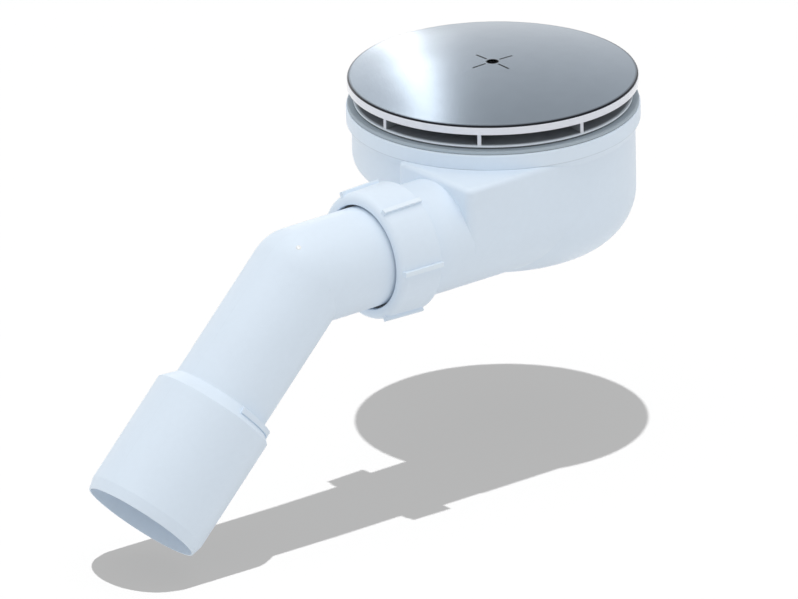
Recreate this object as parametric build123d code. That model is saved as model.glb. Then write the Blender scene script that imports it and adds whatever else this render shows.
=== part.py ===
from build123d import *
import math
import os

# A low shower trap: a round bowl clamped under a shower tray, with a domed cover plate above it
# and a 40 mm outlet that turns 45 degrees down to a 50 mm plug end.
# The origin is on the bowl's axis, in the plane where the tray's underside meets the tray seal.
# +Z is up and the outlet leaves towards -X. Lengths are millimetres; heights are counted from
# the tray plane, and places along the outlet from the bowl's axis.

# Tray hole and the clamp
tray_hole_d = 90.0
throat_clearance = 1.6
throat_wall = 2.0
throat_depth = 12.0
rim_w = 9.75
rim_edge_t = 0.7
rim_root_t = 1.7
rim_lead_r = 3.6
ledge_t = 2.0
ledge_w = 7.6
ledge_corner_r = 0.3
screw_count = 4
screw_d = 4.0
screw_head_d = 6.8
screw_head_h = 2.4
screw_length = 11.0
screw_clearance = 0.25
insert_wall = 0.95
insert_length = 6.0
insert_groove = 0.35

# Seals
flange_gasket_t = 0.76
flange_gasket_inset = 0.45
tray_seal_t = 1.5
tray_seal_w = 12.25
seal_bead_w = 1.6
seal_bead_h = 0.9
seal_bead_offset = 3.0
seal_bead_gap = 0.1

# Cover
cover_overhang = 2.2
cover_sheet = 0.64
cover_rise = 5.0
cover_edge_r = 0.45
pull_hole_d = 4.5
slit_count = 4
slit_start = 3.6
slit_end = 9.8
slit_w = 0.45
band_proud = 0.35
band_h = 3.0
band_wall = 2.2
roof_t = 1.6
carrier_eye_d = 24.0
window_h = 5.5
fin_count = 8
fin_t = 1.5
fin_depth = 9.0
foot_inset = 0.05
foot_gap = 0.05
leg_count = 4
leg_t = 1.8
leg_arc = 24.0
leg_reach = 7.0
leg_gap = 0.55
leg_bead = 0.35

# Bowl
wall = 2.4
collar_proud = 0.5
collar_step = 2.15
collar_h = 6.1
collar_taper_h = 3.4
deck_t = 2.5
mouth_wall = 2.2
mouth_gap = 0.6
pan_depth = 28.6
pan_corner_r = 8.4
well_depth = 58.4
well_corner_r = 22.2
well_shift = 8.0
well_inset = 2.6
well_back_corner_r = 12.0
well_back_drop = 1.0
weir_depth = 20.0
boss_wall = 1.3
boss_length = 12.0

# Dip tube
tube_wall = 1.8
tube_lift = 5.5
tube_collar_gap = 0.4
tube_collar_t = 2.0
tube_collar_overlap = 2.4
ring_land_t = 1.4
ring_land_gap = 0.35
ring_below_seat = 3.4
oring_section = 2.1
oring_clearance = 0.05
socket_wall = 2.0
socket_below_ring = 4.0
tube_lead_r = 1.2
grip_t = 2.4
grip_h = 5.8

# Outlet joint
neck_wall = 2.2
neck_bore_clearance = 0.25
neck_length = 31.0
neck_socket_depth = 26.8
block_reach = 57.8
block_head = 2.25
block_corner_r = 3.4
block_edge_r = 2.2
seat_depth = 3.0
seat_flare = 1.2
nut_length = 19.2
nut_face_t = 2.5
nut_wall = 1.55
nut_taper = 0.5
thread_room = 1.3
nut_skirt = 2.4
nut_edge_r = 3.0
nut_rear_r = 0.5
nut_hole_gap = 1.0
nut_slide_gap = 0.3
rib_count = 6
rib_w = 1.8
rib_h = 1.35
rib_setback = 0.7
rib_edge_r = 0.4
washer_t = 1.2
washer_gap = 0.3
seal_head_t = 1.6
seal_fit = 0.1

# Bend
pipe_d = 40.0
pipe_wall = 1.8
pipe_stop_gap = 0.2
pipe_length = 63.4
bend_angle = 45.0
leg_length = 114.2
plug_d = 50.0
plug_wall = 1.8
plug_length = 51.8
plug_lead = 4.5
plug_lead_depth = 1.15
cone_length = 5.4
tab_arc = 76.0
tab_w = 2.2
tab_h = 2.4
tab_turn = 160.0

# Places that follow from the sizes
throat_r = tray_hole_d / 2 - throat_clearance
throat_in = throat_r - throat_wall
screw_ring_r = throat_in - ledge_w / 2
ledge_hole_r = throat_in - ledge_w
flange_z = flange_gasket_t
rim_top_z = flange_z + rim_edge_t
ledge_z = flange_z - throat_depth
seat_z = ledge_z
collar_top_z = -tray_seal_t
collar_z = collar_top_z - collar_h
mouth_r = throat_r + mouth_gap
band_z = rim_top_z + window_h
plate_z = band_z + band_h
rim_r = tray_hole_d / 2 + rim_w
cover_r = rim_r + cover_overhang
band_r = cover_r + band_proud
dome_r = cover_r - cover_edge_r
dome_top_z = plate_z + cover_sheet + cover_rise
dome_ball_r = (dome_r**2 + cover_rise**2) / (2 * cover_rise)
tube_collar_r = ledge_hole_r - tube_collar_gap
socket_r = tube_collar_r - tube_collar_overlap
tube_r = socket_r - oring_section - 2 * oring_clearance
tube_z = -well_depth + wall + tube_lift
ring_z = seat_z - ring_below_seat
pipe_r = pipe_d / 2
plug_r = plug_d / 2
bore_r = pipe_r + neck_bore_clearance
neck_r = bore_r + neck_wall
seal_r = tray_hole_d / 2 + tray_seal_w
collar_r = seal_r + collar_proud
bowl_r = collar_r - collar_step
well_r = bowl_r - well_inset
bead_r = tray_hole_d / 2 + seal_bead_offset
outlet_y = -(bowl_r - neck_r)
outlet_z = collar_z - block_head - neck_r
neck_end = block_reach + neck_length
neck_stop = neck_end - neck_socket_depth
washer_at = neck_end + seal_head_t
nut_front = washer_at + washer_t + nut_face_t
nut_rear = nut_front - nut_length
nut_core_r = neck_r + thread_room
nut_r = nut_core_r + nut_wall
pipe_start = neck_stop + pipe_stop_gap
bend_reach = pipe_start + pipe_length

OUTLET = Plane(origin=(0, outlet_y, outlet_z), x_dir=(0, 1, 0), z_dir=(-1, 0, 0))
bend_point = Vector(-bend_reach, outlet_y, outlet_z)
fall = math.radians(bend_angle)
LEG = Plane(origin=bend_point, x_dir=(0, 1, 0), z_dir=(-math.cos(fall), 0, -math.sin(fall)))


def section(*corners):
    """A closed face in the XZ plane from (radius, height) corners, each with its own rounding."""
    points = [corner[:2] for corner in corners]
    rounds = [corner[2] if len(corner) > 2 else 0 for corner in corners]
    return make_face(Plane.XZ * FilletPolyline(*points, radius=rounds, close=True))


def turned(*corners, arc=360):
    """The outline of corners, turned about the Z axis."""
    return revolve(section(*corners), Axis.Z, arc)


def rod(radius, low, high):
    """A round rod about the Z axis between two heights."""
    return Pos(0, 0, low) * Cylinder(radius, high - low, align=(Align.CENTER, Align.CENTER, Align.MIN))


def slab(low, high):
    """A box between two opposite corners."""
    size = Vector(*high) - Vector(*low)
    return Pos(*low) * Box(size.X, size.Y, size.Z, align=(Align.MIN, Align.MIN, Align.MIN))


def around(piece, count, radius=0, start=0):
    """Copies of a piece evenly spaced about the Z axis."""
    step = 360 / count
    return [Rot(0, 0, start + step * i) * Pos(radius, 0, 0) * piece for i in range(count)]


def dome_z(radius, drop=0):
    """Height of the cover plate's top surface at a radius, less a drop."""
    ball_z = dome_top_z - dome_ball_r
    return ball_z + math.sqrt(dome_ball_r**2 - radius**2) - drop


def dome_line(inner, outer, drop=0):
    """The dome's curve between two radii, in the XZ plane, lowered by a drop."""
    middle = (inner + outer) / 2
    return ThreePointArc(
        (inner, dome_z(inner, drop)), (middle, dome_z(middle, drop)), (outer, dome_z(outer, drop))
    )


def rim_z(radius):
    """Height of the flange rim's top face, which rises evenly towards the throat."""
    share = (rim_r - radius) / (rim_r - throat_r)
    return rim_top_z + (rim_root_t - rim_edge_t) * share


def make_cover_plate():
    """Pressed domed disc with a rounded edge, a pull hole and four slits round it."""
    shoulder = (dome_r, dome_z(dome_r))
    edge_low = (cover_r, dome_z(dome_r) - cover_edge_r)
    roll = 1 - math.sqrt(0.5)
    edge_middle = (cover_r - cover_edge_r * roll, dome_z(dome_r) - cover_edge_r * roll)
    outline = dome_line(0, dome_r)
    outline += ThreePointArc(shoulder, edge_middle, edge_low)
    outline += Polyline(edge_low, (cover_r, plate_z), (dome_r, plate_z))
    outline += dome_line(0, dome_r, cover_sheet)
    outline += Line((0, dome_top_z), (0, dome_top_z - cover_sheet))
    plate = revolve(make_face(Plane.XZ * outline), Axis.Z)
    plate -= rod(pull_hole_d / 2, plate_z, dome_top_z + 1)
    slit = slab((slit_start, -slit_w / 2, plate_z), (slit_end, slit_w / 2, dome_top_z + 1))
    return plate - around(slit, slit_count)


def make_cover_carrier():
    """Moulded ring and roof under the plate, with eight fins as feet and four throat legs."""
    bond = 0.05
    roof_edge = band_r - band_wall / 2
    inner_r = band_r - band_wall
    top = dome_line(carrier_eye_d / 2, dome_r - 1, cover_sheet + bond)
    eye_top = (carrier_eye_d / 2, dome_z(carrier_eye_d / 2, cover_sheet + bond))
    eye_low = (carrier_eye_d / 2, dome_z(carrier_eye_d / 2, cover_sheet + bond + roof_t))
    low_r = inner_r
    outline = top + Polyline(
        (dome_r - 1, dome_z(dome_r - 1, cover_sheet + bond)),
        (roof_edge, plate_z - bond),
        (band_r - 0.3, plate_z - bond),
        (band_r, plate_z - bond - 0.3),
        (band_r, band_z),
        (inner_r, band_z),
        (low_r, dome_z(low_r, cover_sheet + bond + roof_t)),
    )
    outline += dome_line(carrier_eye_d / 2, low_r, cover_sheet + bond + roof_t)
    outline += Line(eye_low, eye_top)
    carrier = revolve(make_face(Plane.XZ * outline), Axis.Z)
    fin_r = rim_r - foot_inset
    foot_r = fin_r - fin_depth
    roof_middle = cover_sheet + bond + roof_t / 2
    fin_face = make_face(
        Plane.XZ
        * Polyline(
            (fin_r, rim_z(fin_r) + foot_gap),
            (fin_r, dome_z(fin_r, roof_middle)),
            (foot_r, dome_z(foot_r, roof_middle)),
            (foot_r, rim_z(foot_r) + foot_gap),
            close=True,
        )
    )
    fin = extrude(fin_face, fin_t / 2, both=True)
    leg_outer = throat_in - leg_gap
    leg_low = -leg_reach
    leg = turned(
        (leg_outer - leg_t, leg_low),
        (leg_outer, leg_low),
        (leg_outer, leg_low + 1.2),
        (leg_outer + leg_bead, leg_low + 1.9),
        (leg_outer, leg_low + 2.6),
        (leg_outer, dome_z(leg_outer, roof_middle)),
        (leg_outer - leg_t, dome_z(leg_outer, roof_middle)),
        arc=leg_arc,
    )
    carrier += around(fin, fin_count)
    first_leg = 180 / fin_count + 360 / fin_count - leg_arc / 2
    return carrier + around(leg, leg_count, start=first_leg)


def make_clamping_flange():
    """Rim above the tray, throat through its hole and a ledge that the screws pull down."""
    flange = turned(
        (throat_r, flange_z),
        (rim_r, flange_z),
        (rim_r, rim_top_z, rim_edge_t / 3),
        (throat_in, rim_z(throat_in), rim_lead_r),
        (throat_in, ledge_z + ledge_t, ledge_corner_r),
        (ledge_hole_r, ledge_z + ledge_t),
        (ledge_hole_r, ledge_z),
        (throat_r, ledge_z, ledge_t / 4),
    )
    hole = rod(screw_d / 2 + screw_clearance, ledge_z - 1, ledge_z + ledge_t + 1)
    return flange - around(hole, screw_count, screw_ring_r)


def make_flange_gasket():
    """Flat ring between the rim and the tray's upper face."""
    return turned(
        (tray_hole_d / 2, 0),
        (rim_r - flange_gasket_inset, 0),
        (rim_r - flange_gasket_inset, flange_gasket_t),
        (tray_hole_d / 2, flange_gasket_t),
    )


def make_tray_seal():
    """Rubber ring under the tray, with a bead that locates it in the collar's groove."""
    bead_in = bead_r - seal_bead_w / 2
    bead_out = bead_r + seal_bead_w / 2
    return turned(
        (tray_hole_d / 2, 0),
        (seal_r, 0, tray_seal_t * 0.4),
        (seal_r, collar_top_z, tray_seal_t * 0.13),
        (bead_out, collar_top_z),
        (bead_out, collar_top_z - seal_bead_h),
        (bead_in, collar_top_z - seal_bead_h),
        (bead_in, collar_top_z),
        (tray_hole_d / 2, collar_top_z),
    )


def make_flange_screws():
    """Pan-head screws from the flange's ledge into the bowl's inserts."""
    head_z = ledge_z + ledge_t
    screw = rod(screw_head_d / 2, head_z, head_z + screw_head_h)
    screw = fillet(screw.edges().sort_by(Axis.Z)[-1], screw_head_h * 0.4)
    screw += rod(screw_d / 2, head_z - screw_length, head_z)
    tip = screw.edges().filter_by(GeomType.CIRCLE).sort_by(Axis.Z)[0]
    screw = chamfer(tip, screw_d * 0.15)
    arm = Pos(0, 0, head_z + screw_head_h) * Box(screw_d, 0.9, screw_head_h)
    screw -= arm
    screw -= Rot(0, 0, 90) * arm
    return Compound(children=around(screw, screw_count, screw_ring_r))


def insert_bore_r():
    """Bore of a threaded insert, just clear of the screw."""
    return screw_d / 2 + 0.05


def make_screw_inserts():
    """Brass sleeves moulded into the bowl's bosses, grooved so that they hold."""
    outer = insert_bore_r() + insert_wall
    middle = seat_z - insert_length / 2
    half = insert_length * 0.12
    insert = turned(
        (insert_bore_r(), seat_z),
        (outer, seat_z),
        (outer, middle + half),
        (outer - insert_groove, middle + half),
        (outer - insert_groove, middle - half),
        (outer, middle - half),
        (outer, seat_z - insert_length),
        (insert_bore_r(), seat_z - insert_length),
    )
    return Compound(children=around(insert, screw_count, screw_ring_r))


def make_dip_tube():
    """Lift-out tube with a collar, two lands that hold its ring and a grip bar."""
    outer = tube_r
    inner = outer - tube_wall
    land = socket_r - ring_land_gap
    half = oring_section / 2 + oring_clearance
    collar = tube_collar_r
    tube = turned(
        (inner, tube_z),
        (outer, tube_z, 0.4),
        (outer, ring_z - half - ring_land_t),
        (land, ring_z - half - ring_land_t, 0.3),
        (land, ring_z - half),
        (outer, ring_z - half),
        (outer, ring_z + half),
        (land, ring_z + half),
        (land, seat_z),
        (collar, seat_z),
        (collar, seat_z + tube_collar_t, 0.5),
        (inner, seat_z + tube_collar_t, tube_lead_r),
    )
    reach = inner + tube_wall / 3
    grip_top = seat_z + tube_collar_t - tube_lead_r
    grip = slab((-reach, -grip_t / 2, grip_top - grip_h), (reach, grip_t / 2, grip_top))
    return tube + grip


def make_tube_ring():
    """Rubber ring between the dip tube and the bowl's socket."""
    centre_r = tube_r + oring_clearance + oring_section / 2
    return Pos(0, 0, ring_z) * Torus(centre_r, oring_section / 2)


def pot(clearance):
    """Pan and well of the bowl as one solid, smaller all round by a clearance."""
    outer = bowl_r - clearance
    pan_z = -pan_depth + clearance
    well_z = -well_depth + clearance
    top = collar_top_z - deck_t if clearance else collar_top_z
    pan = turned((0, pan_z), (outer, pan_z, pan_corner_r - clearance), (outer, top), (0, top))
    well_top = (pan_z + top) / 2
    side = well_shift * math.sqrt(0.5)
    round_well = turned(
        (0, well_z), (outer, well_z, well_corner_r - clearance), (outer, well_top), (0, well_top)
    )
    back_r = well_r - clearance
    back_z = well_z - well_back_drop
    back_wall = turned(
        (0, back_z), (back_r, back_z, well_back_corner_r - clearance), (back_r, top), (0, top)
    )
    return pan + (round_well & Pos(side, -side, 0) * back_wall)


def outlet_block(clearance):
    """Overflow block: square above the outlet's axis, round below it, smaller by a clearance."""
    half = neck_r - clearance
    top = collar_z - clearance
    front = -block_reach + clearance
    plan = Pos(front / 2, outlet_y) * Rectangle(-front, 2 * half)
    corners = plan.vertices().group_by(Axis.X)[0]
    plan = fillet(corners, block_corner_r - clearance * 0.8)
    column = Pos(0, 0, outlet_z - half) * extrude(plan, top - outlet_z + half)
    channel = Plane.YZ * (Pos(outlet_y, outlet_z) * Circle(half))
    arch = Plane.YZ * (Pos(outlet_y, (outlet_z + top) / 2) * Rectangle(2 * half, top - outlet_z))
    hull = extrude(channel + arch, front)
    return column & hull


def make_trap_body():
    """Bowl, collar, overflow block, outlet neck and the inner seat, moulded as one."""
    body = pot(0)
    body += turned(
        (0, collar_top_z),
        (collar_r, collar_top_z, 0.6),
        (collar_r, collar_z, 1.2),
        (bowl_r, collar_z - collar_taper_h, 3.0),
        (bowl_r, collar_z - collar_taper_h - 3),
        (0, collar_z - collar_taper_h - 3),
    )
    block = outlet_block(0)
    rim = block.faces().sort_by(Axis.Z)[-1].edges()
    block = fillet([e for e in rim if e.center().X < -1], block_edge_r)
    body += block
    body += OUTLET * rod(neck_r, block_reach - wall, neck_end)

    body -= pot(wall)
    body -= rod(mouth_r, collar_top_z - deck_t - 1, collar_top_z + 1)
    groove_half = seal_bead_w / 2 + seal_bead_gap
    groove_z = collar_top_z - seal_bead_h - seal_bead_gap
    body -= turned(
        (bead_r - groove_half, collar_top_z + 1),
        (bead_r + groove_half, collar_top_z + 1),
        (bead_r + groove_half, groove_z),
        (bead_r - groove_half, groove_z),
    )
    chamber = outlet_block(wall)
    weir = slab((-bowl_r, -bowl_r, -weir_depth), (-bowl_r * 0.25, outlet_y + neck_r, collar_z))
    body -= chamber - pot(0)
    body -= chamber & weir

    through = pipe_r - pipe_wall
    body -= OUTLET * turned(
        (0, block_reach - 2 * wall),
        (through, block_reach - 2 * wall),
        (through, neck_stop),
        (bore_r, neck_stop),
        (bore_r, neck_end - seat_depth),
        (bore_r + seat_flare, neck_end),
        (bore_r + seat_flare, neck_end + 1),
        (0, neck_end + 1),
    )

    body += turned(
        (mouth_r, collar_top_z - deck_t / 2),
        (mouth_r + mouth_wall, collar_top_z - deck_t / 2),
        (mouth_r + mouth_wall, seat_z - mouth_wall, 1.0),
        (socket_r + socket_wall, seat_z - mouth_wall),
        (socket_r + socket_wall, ring_z - socket_below_ring),
        (socket_r, ring_z - socket_below_ring),
        (socket_r, seat_z),
        (mouth_r, seat_z),
    )
    boss_r = insert_bore_r() + insert_wall + boss_wall
    boss = rod(boss_r, seat_z - boss_length, seat_z - mouth_wall / 2)
    hole = rod(insert_bore_r() + insert_wall, seat_z - insert_length, seat_z + 1)
    hole += rod(screw_d / 2 + screw_clearance, seat_z - boss_length + 1, seat_z)
    body += around(boss, screw_count, screw_ring_r)
    return body - around(hole, screw_count, screw_ring_r)


def make_union_nut():
    """Ribbed nut that draws the outlet seal into the neck, well rounded at its front."""
    front_r = nut_r
    rear_r = front_r + nut_taper
    slide_r = neck_r + nut_slide_gap
    hole_r = pipe_r + nut_hole_gap
    inner_face = nut_front - nut_face_t
    skirt_at = nut_rear + nut_skirt
    nut = turned(
        (slide_r, nut_rear),
        (rear_r, nut_rear, nut_rear_r),
        (front_r, nut_front, nut_edge_r),
        (hole_r, nut_front, nut_rear_r),
        (hole_r, inner_face),
        (nut_core_r, inner_face, 0.2),
        (nut_core_r, skirt_at),
        (slide_r, skirt_at - nut_core_r + slide_r),
    )
    rib_front = nut_front - rib_setback
    rib_face = make_face(
        Plane.XZ
        * Polyline(
            (front_r - 1, rib_front),
            (front_r + rib_h, rib_front),
            (rear_r + rib_h, nut_rear),
            (rear_r - 1, nut_rear),
            close=True,
        )
    )
    rib = extrude(rib_face, rib_w / 2, both=True)
    rib = fillet(rib.edges().group_by(Axis.X)[-1], rib_edge_r)
    return OUTLET * (nut + around(rib, rib_count, start=180))


def make_slip_washer():
    """Smooth ring that lets the nut turn without dragging the seal."""
    low, high = washer_at, washer_at + washer_t
    inner = pipe_r + washer_gap
    outer = nut_core_r - washer_gap
    return OUTLET * turned((inner, low), (outer, low), (outer, high), (inner, high))


def make_outlet_seal():
    """Wedge ring squeezed between the neck's flared mouth, the pipe and the washer."""
    inner = pipe_r + seal_fit
    outer = nut_core_r - washer_gap - seal_fit
    tip_at = neck_end - seat_depth * 0.8
    return OUTLET * turned(
        (inner, tip_at),
        (bore_r + seat_flare * 0.2 - seal_fit, tip_at),
        (bore_r + seat_flare - seal_fit, neck_end),
        (outer, neck_end),
        (outer, washer_at),
        (inner, washer_at),
    )


def bend_body(radius, plug_radius, start, end, cone_start, end_radius):
    """The bend's pipe, ball-cornered elbow and plug end as one solid, for its outside or its bore."""
    pipe = OUTLET * rod(radius, start, bend_reach)
    corner_plane = Plane(origin=bend_point, x_dir=(0, 1, 0), z_dir=(-1, 0, 0))
    outer_half = Circle(radius) & Pos(0, -radius / 2) * Rectangle(2 * radius, radius)
    elbow = revolve(corner_plane * outer_half, Axis(bend_point, (0, -1, 0)), bend_angle)
    corners = [(0, 0), (radius, 0), (radius, cone_start)]
    corners += [(plug_radius, cone_start + cone_length), (plug_radius, leg_length - plug_lead)]
    corners += [(end_radius, leg_length), (end_radius, end), (0, end)]
    if end <= leg_length:
        corners.pop(-2)
    leg = LEG * turned(*corners)
    return pipe + elbow + leg


def make_outlet_bend():
    """One moulding: 40 mm pipe, 45 degree elbow and 50 mm plug end with a lead-in."""
    cone_start = leg_length - plug_length - cone_length
    inner_r = plug_r - plug_wall
    outside = bend_body(
        pipe_r, plug_r, pipe_start, leg_length, cone_start, plug_r - plug_lead_depth
    )
    inside = bend_body(
        pipe_r - pipe_wall, inner_r, neck_stop - 1, leg_length + 1, cone_start - 1.5, inner_r
    )
    tab = turned(
        (pipe_r, cone_start + 0.8),
        (pipe_r + tab_h + 1, cone_start + 0.8),
        (pipe_r + tab_h + 1, cone_start + 0.8 + tab_w),
        (pipe_r, cone_start + 0.8 + tab_w),
        arc=tab_arc,
    )
    tab = LEG * Rot(0, 0, tab_turn - tab_arc / 2) * tab
    return outside + tab - inside


pieces = {
    "cover_plate": make_cover_plate,
    "cover_carrier": make_cover_carrier,
    "clamping_flange": make_clamping_flange,
    "flange_gasket": make_flange_gasket,
    "flange_screws": make_flange_screws,
    "screw_inserts": make_screw_inserts,
    "tray_seal": make_tray_seal,
    "trap_body": make_trap_body,
    "dip_tube": make_dip_tube,
    "tube_ring": make_tube_ring,
    "outlet_seal": make_outlet_seal,
    "slip_washer": make_slip_washer,
    "union_nut": make_union_nut,
    "outlet_bend": make_outlet_bend,
}

os.makedirs("parts", exist_ok=True)
for name, make in pieces.items():
    export_step(make(), f"parts/{name}.step")
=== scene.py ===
import math

import bmesh
import bpy
import numpy as np
from mathutils import Matrix, Quaternion, Vector


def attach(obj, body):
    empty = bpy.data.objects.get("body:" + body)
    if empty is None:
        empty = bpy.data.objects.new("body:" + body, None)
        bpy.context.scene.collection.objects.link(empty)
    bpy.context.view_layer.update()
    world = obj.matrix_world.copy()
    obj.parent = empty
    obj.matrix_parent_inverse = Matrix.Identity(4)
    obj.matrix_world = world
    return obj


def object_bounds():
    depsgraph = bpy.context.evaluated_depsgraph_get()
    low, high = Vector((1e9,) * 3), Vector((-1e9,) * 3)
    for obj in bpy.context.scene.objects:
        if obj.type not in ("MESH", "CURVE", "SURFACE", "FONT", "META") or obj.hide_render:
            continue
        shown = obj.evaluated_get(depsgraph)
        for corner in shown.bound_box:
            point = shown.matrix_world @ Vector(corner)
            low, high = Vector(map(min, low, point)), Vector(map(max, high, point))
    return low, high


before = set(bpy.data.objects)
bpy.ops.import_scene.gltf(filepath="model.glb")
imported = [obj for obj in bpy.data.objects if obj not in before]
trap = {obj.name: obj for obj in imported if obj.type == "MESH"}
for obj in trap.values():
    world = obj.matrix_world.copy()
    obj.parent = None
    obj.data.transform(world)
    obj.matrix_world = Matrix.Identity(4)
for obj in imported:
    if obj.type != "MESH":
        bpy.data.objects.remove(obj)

cad_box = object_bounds()

# The camera is a very long lens from the front left, a little above the cover, as the photograph
# was taken. Its slight roll keeps the outlet's fall as steep as it is there.

view_azimuth = math.radians(-38.8805)
view_height = math.radians(21.6688)
view_roll = math.radians(-1.0209)
camera_place = Vector((-6.12479761, -7.53492482, 3.77403446))

camera_data = bpy.data.cameras.new("studio_camera")
camera_data.lens = 1200.0
camera_data.sensor_width = 36.0
camera_data.clip_start = 1.0
camera_data.clip_end = 40.0
camera = bpy.data.objects.new("studio_camera", camera_data)
to_camera = Vector((
    math.sin(view_azimuth) * math.cos(view_height),
    -math.cos(view_azimuth) * math.cos(view_height),
    math.sin(view_height),
))
to_right = Vector((math.cos(view_azimuth), math.sin(view_azimuth), 0.0))
to_top = to_camera.cross(to_right)
rolled_right = math.cos(view_roll) * to_right + math.sin(view_roll) * to_top
rolled_top = -math.sin(view_roll) * to_right + math.cos(view_roll) * to_top
camera.matrix_world = Matrix((
    (rolled_right.x, rolled_top.x, to_camera.x, camera_place.x),
    (rolled_right.y, rolled_top.y, to_camera.y, camera_place.y),
    (rolled_right.z, rolled_top.z, to_camera.z, camera_place.z),
    (0.0, 0.0, 0.0, 1.0),
))
bpy.context.scene.collection.objects.link(camera)
bpy.context.scene.camera = camera
bpy.context.scene.view_settings.view_transform = "Standard"


# The floor is plain, pale and white to the eye, and keeps the trap's shadow under a high sun that
# lights nothing else. What it throws back up at the trap is an even, weaker glow.

def feed(tree, socket, value):
    """Links a socket to value where that is a socket too, and writes a number, colour or vector
    in. None leaves the socket alone."""
    if isinstance(value, bpy.types.NodeSocket):
        tree.links.new(value, socket)
    elif value is not None:
        socket.default_value = value


def put(tree, kind, *fed, **settings):
    """A node of this kind in the tree. Its settings are set by name, and fed feeds its sockets in
    their order."""
    node = tree.nodes.new(kind)
    for name, value in settings.items():
        setattr(node, name, value)
    for socket, value in zip(node.inputs, fed):
        feed(tree, socket, value)
    return node


def maths(tree, operation, *values):
    """What one sum on sockets or numbers comes to."""
    return put(tree, "ShaderNodeMath", *values, operation=operation).outputs[0]


pure_white = (1.0, 1.0, 1.0, 1.0)
floor_drop = 0.0039
floor_half = 6.0
floor_z = cad_box[0].z - floor_drop
floor_matt = (0.05, 0.05, 0.05, 1.0)
floor_in_shade = 0.43
floor_glow = 0.81
floor_sun_strength = 33.0
floor_sun_width = math.radians(0.8)
floor_sun_way = Vector((-0.0074, -0.0252, -1.0))

floor_mesh = bpy.data.meshes.new("studio_floor")
floor_mesh.from_pydata(
    [(-floor_half, -floor_half, floor_z), (floor_half, -floor_half, floor_z),
     (floor_half, floor_half, floor_z), (-floor_half, floor_half, floor_z)],
    [], [(0, 1, 2, 3)],
)
floor = bpy.data.objects.new("studio_floor", floor_mesh)
bpy.context.scene.collection.objects.link(floor)

floor_paint = bpy.data.materials.new("studio_floor")
floor_paint.use_nodes = True
tree = floor_paint.node_tree
tree.nodes.clear()
rays = put(tree, "ShaderNodeLightPath").outputs
mirrored = maths(tree, "MAXIMUM", rays["Is Glossy Ray"], rays["Is Transmission Ray"])
looked_at = maths(tree, "MAXIMUM", rays["Is Camera Ray"], mirrored)
matt = put(tree, "ShaderNodeBsdfDiffuse", floor_matt)
lift = put(tree, "ShaderNodeEmission", pure_white, floor_in_shade)
shown = put(tree, "ShaderNodeAddShader", matt.outputs[0], lift.outputs[0])
glow = put(tree, "ShaderNodeEmission", pure_white, floor_glow)
paint = put(tree, "ShaderNodeMixShader", looked_at, glow.outputs[0], shown.outputs[0])
put(tree, "ShaderNodeOutputMaterial", paint.outputs[0])
floor_mesh.materials.append(floor_paint)

sun_data = bpy.data.lights.new("floor_sun", "SUN")
sun_data.energy = floor_sun_strength
sun_data.angle = floor_sun_width
floor_sun = bpy.data.objects.new("floor_sun", sun_data)
floor_sun.rotation_mode = "QUATERNION"
floor_sun.rotation_quaternion = floor_sun_way.to_track_quat("-Z", "Y")
bpy.context.scene.collection.objects.link(floor_sun)
floor_only = bpy.data.collections.new("floor_only")
floor_only.objects.link(floor)
floor_sun.light_linking.receiver_collection = floor_only


# The studio around it is white, and polished faces see it darken towards the ceiling. Most light
# is an even sky and a wide soft box overhead, with a weak one at each side of the camera.

def fade(tree, value, start, end, first, last, **settings):
    """What goes from first to last while value goes from start to end, and stays there beyond."""
    return put(tree, "ShaderNodeMapRange", value, start, end, first, last, **settings).outputs[0]


sky_strength = 0.58
wall_strength = 1.0
ceiling_strength = 0.57
ceiling_from = 0.66

sky = bpy.data.worlds.new("studio_sky")
bpy.context.scene.world = sky
sky.use_nodes = True
tree = sky.node_tree
tree.nodes.clear()
rays = put(tree, "ShaderNodeLightPath").outputs
way = put(tree, "ShaderNodeTexCoord").outputs["Generated"]
up = put(tree, "ShaderNodeSeparateXYZ", way).outputs["Z"]
walls = fade(tree, up, 0.0, ceiling_from, wall_strength, ceiling_strength)
soft = put(tree, "ShaderNodeBackground", pure_white, sky_strength)
dim = put(tree, "ShaderNodeBackground", pure_white, walls)
white = put(tree, "ShaderNodeBackground", pure_white, 1.0)
mirrored = maths(tree, "MAXIMUM", rays["Is Glossy Ray"], rays["Is Transmission Ray"])
lit = put(tree, "ShaderNodeMixShader", mirrored, soft.outputs[0], dim.outputs[0])
shown = put(tree, "ShaderNodeMixShader", rays["Is Camera Ray"], lit.outputs[0], white.outputs[0])
put(tree, "ShaderNodeOutputWorld", shown.outputs[0])


def lamp(name, place, aim, width, height, watts, mirrored_only=False):
    """A rectangular lamp at place that faces aim, of this power in watts. One that is mirrored
    only shows in polished faces and lights nothing else."""
    data = bpy.data.lights.new(name, "AREA")
    data.shape = "RECTANGLE"
    data.size, data.size_y = width, height
    data.energy = watts
    thing = bpy.data.objects.new(name, data)
    thing.location = place
    thing.rotation_mode = "QUATERNION"
    thing.rotation_quaternion = (Vector(aim) - Vector(place)).to_track_quat("-Z", "Y")
    thing.visible_diffuse = not mirrored_only
    thing.visible_glossy = mirrored_only
    bpy.context.scene.collection.objects.link(thing)
    return thing


straight_up = Vector((0.0, 0.0, 1.0))
trap_middle = Vector((-0.08, -0.02, -0.05))
for name, side, distance, width, watts in (
    ("top_box", straight_up, 1.5, 1.8, 13.6),
    ("right_box", 0.80 * to_right + 0.60 * to_camera + 0.15 * straight_up, 1.6, 1.0, 1.6),
    ("left_box", -0.85 * to_right + 0.45 * to_camera + 0.35 * straight_up, 1.6, 1.0, 2.1),
):
    lamp(name, trap_middle + distance * side.normalized(), trap_middle, width, width, watts)


# Trap body: bowl, collar, overflow block and outlet neck in one moulding of white polypropylene.
# The skin has the mould's fine spark grain, faint sinks where bosses stand behind it, and a line
# along the collar's lower edge that stands a hair proud and is darkened as painted shade of the
# crease.

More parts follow.
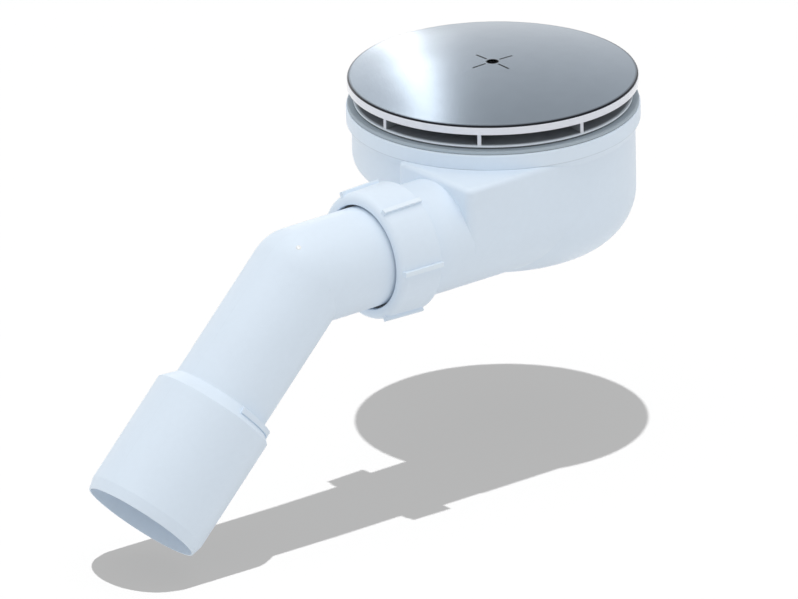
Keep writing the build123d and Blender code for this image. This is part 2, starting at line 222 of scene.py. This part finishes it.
def noise(tree, place, scale, detail, rough):
    """A cloudy pattern from 0 to 1 with this many clouds to the metre."""
    return put(tree, "ShaderNodeTexNoise", place, None, scale, detail, rough).outputs[0]


def on_piece(tree):
    """The point's place on the piece, in metres in the trap's own frame."""
    return put(tree, "ShaderNodeTexCoord").outputs["Object"]


def along(tree, place, axis):
    """One coordinate of a place."""
    return put(tree, "ShaderNodeSeparateXYZ", place).outputs[axis]


def length_across(tree, place, kept):
    """The length of what is left of a place times kept, so (1, 1, 0) gives the distance from the
    bowl's axis."""
    flat = put(tree, "ShaderNodeVectorMath", place, kept, operation="MULTIPLY")
    return put(tree, "ShaderNodeVectorMath", flat.outputs[0], operation="LENGTH").outputs["Value"]


def brighter(tree, colour, times):
    """The colour at so many times its brightness."""
    return put(tree, "ShaderNodeHueSaturation", None, None, times, None, colour).outputs[0]


def new_group(name, taken, given):
    """An empty node group with these sockets, as names and kinds, and what its input node gives."""
    group = bpy.data.node_groups.new(name, "ShaderNodeTree")
    for in_out, sockets in (("INPUT", taken), ("OUTPUT", given)):
        for socket, kind in sockets.items():
            group.interface.new_socket(socket, in_out=in_out, socket_type="NodeSocket" + kind)
    return group, put(group, "NodeGroupInput").outputs


def put_group(tree, group, **values):
    """The group placed in a material, with its sockets fed by name."""
    node = put(tree, "ShaderNodeGroup", node_tree=group)
    for name, value in values.items():
        feed(tree, node.inputs[name], value)
    return node.outputs


def skin_group():
    """Skin of a moulding. Height is Grain times a fine noise plus Sink times a broad one; Rough
    swings by 0.06 about the given roughness with the broad one, and Color by 1.2 % in value with
    the broad one and flecks."""
    group, given = new_group(
        "moulded_skin",
        {"Color": "Color", "Rough": "Float", "Grain": "Float", "Sink": "Float"},
        {"Color": "Color", "Rough": "Float", "Height": "Float"},
    )
    place = on_piece(group)
    sparks = noise(group, place, 2400.0, 3.0, 0.6)
    flecks = noise(group, place, 420.0, 2.0, 0.5)
    broad = noise(group, place, 38.0, 2.0, 0.5)
    grain = maths(group, "MULTIPLY", sparks, given["Grain"])
    height = maths(group, "MULTIPLY_ADD", broad, given["Sink"], grain)
    rough = maths(group, "ADD", given["Rough"], fade(group, broad, 0.3, 0.7, -0.06, 0.06))
    value = fade(group, maths(group, "ADD", broad, flecks), 0.6, 1.4, 0.988, 1.012)
    put(group, "NodeGroupOutput", brighter(group, given["Color"], value), rough, height)
    return group


moulded_skin = skin_group()


def new_material(name):
    """A material with one shader, and its node tree."""
    material = bpy.data.materials.new(name)
    material.use_nodes = True
    return material, material.node_tree


def face_of(material):
    """The sockets of the material's one shader."""
    return material.node_tree.nodes["Principled BSDF"].inputs


def emboss(material, height, depth):
    """Raises the face by depth times height, on top of what it is raised by so far."""
    tree = material.node_tree
    normal = face_of(material)["Normal"]
    bump = put(tree, "ShaderNodeBump", None, depth)
    feed(tree, bump.inputs["Height"], height)
    if normal.is_linked:
        feed(tree, bump.inputs["Normal"], normal.links[0].from_socket)
    feed(tree, normal, bump.outputs["Normal"])


plastic_ior = 1.49


def moulded(name, colour, roughness, grain=0.25, sink=1.0, depth=0.00002):
    """A moulded material, with the skin's colour, gloss and height on its shader."""
    material, tree = new_material(name)
    face = face_of(material)
    face["IOR"].default_value = plastic_ior
    skin = put_group(
        tree, moulded_skin, Color=(*colour, 1.0), Rough=roughness, Grain=grain, Sink=sink
    )
    feed(tree, face["Base Color"], skin["Color"])
    feed(tree, face["Roughness"], skin["Rough"])
    emboss(material, skin["Height"], depth)
    return material


def dress(node, material):
    """Gives a node of the frame one material on all its faces."""
    mesh = trap[node].data
    mesh.materials.clear()
    mesh.materials.append(material)


def raised_dark_line_group():
    """A line where Coordinate is At, out to Reach from the bowl's axis, used for the bend's parting
    line and for the collar crease's painted shade: Line is 1 there and falls to 0 at Half from it,
    and a noise breaks it along its run."""
    group, given = new_group(
        "raised_dark_line",
        {"Coordinate": "Float", "At": "Float", "Half": "Float", "Reach": "Float"},
        {"Line": "Float"},
    )
    place = on_piece(group)
    gap = maths(group, "ABSOLUTE", maths(group, "SUBTRACT", given["Coordinate"], given["At"]))
    line = fade(group, gap, 0.0, given["Half"], 1.0, 0.0)
    kept = fade(group, noise(group, place, 60.0, 2.0, 0.5), 0.35, 0.65, 0.5, 1.0)
    far = length_across(group, place, (1.0, 1.0, 0.0))
    near = maths(group, "LESS_THAN", far, given["Reach"])
    drawn = maths(group, "MULTIPLY", maths(group, "MULTIPLY", line, kept), near)
    put(group, "NodeGroupOutput", drawn)
    return group


raised_dark_line = raised_dark_line_group()
seam_height = 0.00003


def raise_and_darken_line(material, axis, at, half, shade, reach=1.0):
    """Draws a line where the axis' coordinate is at, out to reach from the bowl's axis: it stands a
    little proud, and its colour is the skin's times shade. On the bend it is the mould's parting
    line;
    on the collar its darkening is painted shade of the crease."""
    tree = material.node_tree
    base = face_of(material)["Base Color"]
    line = put_group(
        tree, raised_dark_line, Coordinate=along(tree, on_piece(tree), axis), At=at, Half=half,
        Reach=reach,
    )["Line"]
    emboss(material, line, seam_height)
    value = fade(tree, line, 0.0, 1.0, 1.0, shade)
    feed(tree, base, brighter(tree, base.links[0].from_socket, value))


body_white = (0.737, 0.837, 0.945)
collar_z = -0.0076
collar_reach = 0.0579
body_plastic = moulded("body_plastic", body_white, 0.42)
# Painted shade: the collar's line is darkened to 0.74 of the skin, for the crease under the collar.
raise_and_darken_line(body_plastic, "Z", collar_z, 0.00030, 0.74, reach=collar_reach)
dress("trap_body", body_plastic)


# Gate mark: the small crater that is left under the well where the plastic went into the mould.
# It is part of the moulding, torn off nearly flush, and its plastic is painted whiter as a
# highlight.

def closed_piece(name, points, faces, material):
    """Makes a closed mesh of the points and faces, turns its faces outwards, and rides it."""
    mesh = bpy.data.meshes.new(name)
    mesh.from_pydata([tuple(p) for p in points.tolist()], [], [tuple(f) for f in faces.tolist()])
    shell = bmesh.new()
    shell.from_mesh(mesh)
    bmesh.ops.remove_doubles(shell, verts=shell.verts, dist=1e-7)
    bmesh.ops.recalc_face_normals(shell, faces=shell.faces)
    shell.to_mesh(mesh)
    shell.free()
    mesh.polygons.foreach_set("use_smooth", np.ones(len(mesh.polygons), dtype=bool))
    mesh.materials.append(material)
    piece = bpy.data.objects.new(name, mesh)
    bpy.context.scene.collection.objects.link(piece)
    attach(piece, "root")
    return piece


def swept_faces(rows, sides):
    """Four-cornered faces between rows of points, each of them a closed ring of so many sides."""
    row, side = np.meshgrid(np.arange(rows - 1), np.arange(sides), indexing="ij")
    ahead = (side + 1) % sides
    return np.stack([
        row * sides + side, row * sides + ahead, (row + 1) * sides + ahead,
        (row + 1) * sides + side,
    ], axis=-1).reshape(-1, 4)


crater_turns = 32
crater_profile = np.array([
    (0.0, 0.02), (0.30, 0.02), (0.42, 0.06), (0.50, 0.16), (0.62, 0.20), (0.74, 0.16),
    (0.86, 0.06), (1.05, 0.0), (1.05, -0.40), (0.0, -0.40),
]) * 0.001


def gate_mark(name, foot, out, material):
    """A crater on the skin at foot, facing out. Its profile of (radius, height) pairs is turned
    about out: a point is foot + out * height + radius * (cos a * side + sin a * cross)."""
    out = np.array(out) / np.linalg.norm(out)
    side = np.cross(out, (0.31, 0.94, 0.12))
    side /= np.linalg.norm(side)
    cross = np.cross(out, side)
    angle = np.linspace(0.0, 2.0 * np.pi, crater_turns, endpoint=False)
    ring = np.outer(np.cos(angle), side) + np.outer(np.sin(angle), cross)
    radius = crater_profile[:, None, 0, None]
    height = crater_profile[:, None, 1, None]
    points = (np.array(foot) + height * out + radius * ring).reshape(-1, 3)
    faces = swept_faces(len(crater_profile), crater_turns)
    return closed_piece(name, points, faces, material)


well_underside_z = -0.0584
# Painted highlight: the gate marks are whiter than the skin round them.
gate_highlight_plastic = moulded("gate_highlight_plastic", (0.93, 0.95, 0.97), 0.25)
gate_mark("well_gate", (0.0, 0.0, well_underside_z), (0.0, 0.0, -1.0), gate_highlight_plastic)


# Tray seal: the light grey ring of soft rubber on the collar, which the tray is pressed down on.
# Talc from its box lies in the grain, and its lower edge is darker: painted shade where the round
# section turns down.

# A mix node's three colour sockets share their names with others, so they go by number.
mix_from, mix_to, mix_out = 6, 7, 2


def tint(material, mask, colour):
    """Mixes colour into what the shader has for its colour so far, as much as the mask says."""
    tree = material.node_tree
    base = face_of(material)["Base Color"]
    mix = put(tree, "ShaderNodeMix", mask, data_type="RGBA")
    feed(tree, mix.inputs[mix_from], base.links[0].from_socket)
    feed(tree, mix.inputs[mix_to], (*colour, 1.0))
    feed(tree, base, mix.outputs[mix_out])


seal_rubber = moulded(
    "seal_rubber", (0.40, 0.47, 0.53), 0.66, grain=1.0, sink=0.6, depth=0.00003
)
tree = seal_rubber.node_tree
# Painted shade: the seal's lower edge is darker than the rest of it.
painted_edge_shade = fade(tree, along(tree, on_piece(tree), "Z"), -0.0014, -0.0010, 1.0, 0.0)
tint(seal_rubber, painted_edge_shade, (0.22, 0.26, 0.29))
dress("tray_seal", seal_rubber)


# Screw inserts: four turned brass sleeves, knurled outside, that the bowl is moulded round.
# They stand on the X and Y axes about the bowl's, so one pattern folded on these serves all four.

def turned_group():
    """Tool marks of a turned face about the four axes at Centre from the bowl's, on X and Y. Rings
    is a noise read along the distance from the nearest axis, Pitch times finer than a metre."""
    group, given = new_group(
        "turned_marks",
        {"Centre": "Float", "Pitch": "Float"},
        {"Rings": "Float", "Stain": "Float"},
    )
    place = on_piece(group)
    off_x = maths(group, "ABSOLUTE", along(group, place, "X"))
    off_y = maths(group, "ABSOLUTE", along(group, place, "Y"))
    out = maths(group, "SUBTRACT", maths(group, "MAXIMUM", off_x, off_y), given["Centre"])
    aside = maths(group, "MINIMUM", off_x, off_y)
    flat = put(group, "ShaderNodeCombineXYZ", out, aside)
    far = put(group, "ShaderNodeVectorMath", flat.outputs[0], operation="LENGTH").outputs["Value"]
    rings = put(
        group, "ShaderNodeTexNoise", None, maths(group, "MULTIPLY", far, given["Pitch"]),
        1.0, 2.0, 0.5, noise_dimensions="1D",
    )
    put(group, "NodeGroupOutput", rings.outputs[0], noise(group, place, 120.0, 3.0, 0.5))
    return group


turned_marks = turned_group()
ledge_screw_at = 0.0376


def turned_metal(name, bright, dull, smooth, rough, centre, pitch, depth):
    """A turned metal: stain mixes bright into dull, rings go from smooth to rough and stand depth
    high."""
    material, tree = new_material(name)
    face = face_of(material)
    face["Metallic"].default_value = 1.0
    marks = put_group(tree, turned_marks, Centre=centre, Pitch=pitch)
    colour = put(tree, "ShaderNodeMix", marks["Stain"], data_type="RGBA")
    feed(tree, colour.inputs[mix_from], (*bright, 1.0))
    feed(tree, colour.inputs[mix_to], (*dull, 1.0))
    feed(tree, face["Base Color"], colour.outputs[mix_out])
    feed(tree, face["Roughness"], fade(tree, marks["Rings"], 0.3, 0.7, smooth, rough))
    emboss(material, marks["Rings"], depth)
    return material


insert_brass = turned_metal(
    "insert_brass", (0.78, 0.61, 0.31), (0.60, 0.43, 0.20), 0.24, 0.38,
    ledge_screw_at, 9000.0, 0.00001,
)
dress("screw_inserts", insert_brass)


# Dip tube and its ring: the lift-out tube that makes the water seal, white polypropylene like the
# bowl but glossier, and the black ring that seals its collar in the bowl's seat.

tube_plastic = moulded("tube_plastic", (0.74, 0.80, 0.86), 0.30)
dress("dip_tube", tube_plastic)
ring_rubber = moulded("ring_rubber", (0.028, 0.028, 0.031), 0.50, grain=0.8, sink=0.3)
dress("tube_ring", ring_rubber)


# Flange gasket: the thin grey ring between the rim and the tray, cut from rubber sheet. It is left
# with the sheet's coarse grain, and shows as the dark line under the rim.

gasket_rubber = moulded(
    "gasket_rubber", (0.12, 0.135, 0.15), 0.70, grain=1.0, sink=0.4, depth=0.00003
)
dress("flange_gasket", gasket_rubber)


# Clamping flange: white rim above the tray with a throat through its hole. Under the cover its top
# is painted dark grey from just inside the rim's edge inwards, as painted shade.

def recess_group():
    """How deep under the cover a point is, from its distance to the bowl's axis, as the mask for
    painted shade: Deep is 0 from Outer outwards and 1 from Inner inwards, on a smooth step between
    them."""
    group, given = new_group(
        "recess_shade", {"Inner": "Float", "Outer": "Float"}, {"Deep": "Float"}
    )
    far = length_across(group, on_piece(group), (1.0, 1.0, 0.0))
    deep = fade(
        group, far, given["Inner"], given["Outer"], 1.0, 0.0, interpolation_type="SMOOTHSTEP"
    )
    put(group, "NodeGroupOutput", deep)
    return group


recess_shade = recess_group()


def shade_recess(material, inner, outer, dark):
    """Paints shade into a material's colour: mixes dark in by how deep under the cover a point is.
    """
    recess = put_group(material.node_tree, recess_shade, Inner=inner, Outer=outer)
    tint(material, recess["Deep"], dark)


flange_plastic = moulded("flange_plastic", (0.76, 0.83, 0.90), 0.36)
# Painted shade: the flange's top is dark grey inside the rim's edge.
shade_recess(flange_plastic, 0.0534, 0.0543, (0.24, 0.26, 0.29))
dress("clamping_flange", flange_plastic)


# Flange screws: four stainless pan heads that draw the flange down on the tray, turned and
# rolled, a little dull on the head where the driver has been.

screw_steel = turned_metal(
    "screw_steel", (0.66, 0.66, 0.67), (0.48, 0.48, 0.50), 0.22, 0.36,
    ledge_screw_at, 7000.0, 0.00001,
)
dress("flange_screws", screw_steel)


# Cover carrier: the white moulding under the plate, glossier than the bowl. Its band shows round
# the plate's edge, with a painted shadow line where they meet, and its fins stand on the rim.

carrier_plastic = moulded("carrier_plastic", (0.74, 0.77, 0.84), 0.16)
face = face_of(carrier_plastic)
face["Coat Weight"].default_value = 1.0
face["Coat Roughness"].default_value = 0.06
face["Coat IOR"].default_value = 1.60
# Painted shade: inside the fins' fronts the carrier is painted dark grey.
shade_recess(carrier_plastic, 0.05440, 0.05455, (0.24, 0.26, 0.28))
tree = carrier_plastic.node_tree
# Painted shadow: the top of the band, under the plate's lip, is painted nearly black.
painted_lip_shadow = fade(tree, along(tree, on_piece(tree), "Z"), 0.00978, 0.00990, 0.0, 1.0)
tint(carrier_plastic, painted_lip_shadow, (0.03, 0.032, 0.035))
dress("cover_carrier", carrier_plastic)


# Cover plate: a stainless disc pressed into a shallow dome, satin chromed, with its lip rolled
# down over the band. It keeps faint spun rings. Its lip's lower edge and the rims of its slits and
# pull hole are painted near black, as painted shade.

slit_half = (0.00030, 0.00055)
slit_inner_end = (0.0033, 0.0036)
slit_outer_end = (0.0099, 0.0102)
pull_hole_edge = (0.0024, 0.0028)
lip_height = (0.01052, 0.01074)

cover_chrome = turned_metal(
    "cover_chrome", (0.375, 0.44, 0.515), (0.345, 0.405, 0.475), 0.14, 0.19, 0.0, 2600.0, 0.000002
)
tree = cover_chrome.node_tree
place = on_piece(tree)
far = length_across(tree, place, (1.0, 1.0, 0.0))
off_x = maths(tree, "ABSOLUTE", along(tree, place, "X"))
off_y = maths(tree, "ABSOLUTE", along(tree, place, "Y"))
near_slit = fade(tree, maths(tree, "MINIMUM", off_x, off_y), *slit_half, 1.0, 0.0)
before_end = fade(tree, far, *slit_outer_end, 1.0, 0.0)
past_start = fade(tree, far, *slit_inner_end, 0.0, 1.0)
slit_edge = maths(tree, "MULTIPLY", near_slit, maths(tree, "MULTIPLY", before_end, past_start))
hole_edge = fade(tree, far, *pull_hole_edge, 1.0, 0.0)
lip = fade(tree, along(tree, place, "Z"), *lip_height, 1.0, 0.0)
# Painted shade: near black under the lip and round the slits and the pull hole.
painted_gap_shade = maths(tree, "MAXIMUM", lip, maths(tree, "MAXIMUM", slit_edge, hole_edge))
tint(cover_chrome, painted_gap_shade, (0.02, 0.022, 0.028))
dress("cover_plate", cover_chrome)


# Tall strips behind the trap that only polished faces see: narrow ones for the plate's white
# band, and a wide faint one whose light falls off to both sides of it. They lean a little left.

strip_reach = 3.0
strip_lean = math.radians(-3.6)


def strip(name, turn, width, low, high, brightness):
    """A tall lamp behind the trap that faces it, turned this many degrees to the left of straight
    away from the camera. Its power is brightness * pi * its area."""
    turned = view_azimuth + math.pi + math.radians(turn)
    out = Vector((math.sin(turned), -math.cos(turned), 0.0))
    middle = Vector((0.0, 0.0, (low + high) / 2))
    watts = brightness * math.pi * width * (high - low)
    tall = lamp(
        name, strip_reach * out + middle, middle, width, high - low, watts, mirrored_only=True
    )
    tall.rotation_quaternion = Quaternion(out, strip_lean) @ tall.rotation_quaternion


strip("low_strip", 3.93, 0.09, -0.3, 1.0, 1.9)
strip("band_strip", 6.0, 0.12, 1.0, 3.3, 2.3)
strip("wide_strip", 7.2, 0.42, 0.3, 3.3, 0.34)


# Union nut and the joint's threads: a ribbed nut of the same plastic, its ribs' crests painted
# lighter as a highlight, and the neck's thread with the nut's between its turns, run out to nothing
# at both ends.

outlet_y, outlet_z = -0.03315, -0.0323
thread_pitch = 0.0035
steps_per_turn = 72


def ridge(name, foot, crest, start, end, phase, foot_half, crest_half, material):
    """A helical ridge about the outlet's axis. At turn angle a its section stands at start +
    pitch * a / 2 pi along the axis, and its crest lies at foot + (crest - foot) * lift, where
    lift rises and falls as a smooth step over the first and last quarter turn."""
    turns = (end - start) / thread_pitch
    steps = int(turns * steps_per_turn)
    angle = np.linspace(0.0, 2.0 * np.pi * turns, steps + 1)
    ramp = np.clip(np.minimum(angle, angle[-1] - angle) / (0.5 * np.pi), 0.0, 1.0)
    lift = ramp * ramp * (3.0 - 2.0 * ramp)
    middle = start + thread_pitch * angle / (2.0 * np.pi)
    across = np.array([-foot_half, -foot_half, -crest_half, -0.5 * crest_half, 0.5 * crest_half,
                       crest_half, foot_half, foot_half])
    up = np.array([-0.2, 0.0, 0.92, 1.0, 1.0, 0.92, 0.0, -0.2])
    radius = foot + (crest - foot) * np.where(up > 0.0, up * lift[:, None], up)
    turn = angle[:, None] + phase
    points = np.stack([
        -(middle[:, None] + across) + 0.0 * turn, outlet_y + radius * np.cos(turn),
        outlet_z + radius * np.sin(turn),
    ], axis=-1).reshape(-1, 3)
    end_faces = np.array([
        base + np.array(quad) for base in (0, steps * len(across))
        for quad in ((0, 1, 6, 7), (1, 2, 5, 6), (2, 3, 4, 5))
    ])
    faces = np.vstack([swept_faces(steps + 1, len(across)), end_faces])
    return closed_piece(name, points, faces, material)


nut_plastic = moulded("nut_plastic", body_white, 0.40)
tree = nut_plastic.node_tree
from_outlet = put(
    tree, "ShaderNodeVectorMath", on_piece(tree), (0.0, -outlet_y, -outlet_z), operation="ADD"
)
far = length_across(tree, from_outlet.outputs[0], (0.0, 1.0, 1.0))
# Painted highlight: the rib crests are lighter than the rest of the nut.
painted_crest_highlight = fade(tree, far, 0.0262, 0.0266, 0.0, 1.0)
tint(nut_plastic, painted_crest_highlight, (0.79, 0.88, 0.965))
dress("union_nut", nut_plastic)
ridge("neck_thread", 0.02245, 0.0233, 0.0788, 0.0874, 0.0, 0.0012, 0.0005, body_plastic)
ridge("nut_thread", 0.02375, 0.02295, 0.0785, 0.0872, math.pi, 0.0009, 0.00035, nut_plastic)


# Outlet seal and slip washer: the black wedge ring that the nut presses round the pipe, and the
# hard grey ring between them, whose edge shows in the nut's hole.

outlet_rubber = moulded(
    "outlet_rubber", (0.03, 0.03, 0.033), 0.58, grain=1.0, sink=0.4, depth=0.00003
)
dress("outlet_seal", outlet_rubber)
washer_plastic = moulded("washer_plastic", (0.10, 0.105, 0.115), 0.45, grain=0.5)
dress("slip_washer", washer_plastic)


# Outlet bend: pipe, 45 degree elbow and plug end in one moulding of white polypropylene. The mould
# parts in the bend's own plane, and left a hair of flash there and a gate mark on the elbow.

bend_plastic = moulded("bend_plastic", body_white, 0.42)
raise_and_darken_line(bend_plastic, "Y", outlet_y, 0.00012, 0.93)
dress("outlet_bend", bend_plastic)

pipe_radius = 0.0200
elbow_middle = np.array((-0.1256, outlet_y, outlet_z))
gate_way = np.array((-0.3367, -0.4336, 0.8360))
# Painted highlight: the elbow's gate mark is whiter than the skin.
gate_mark("elbow_gate", elbow_middle + pipe_radius * gate_way, gate_way, gate_highlight_plastic)
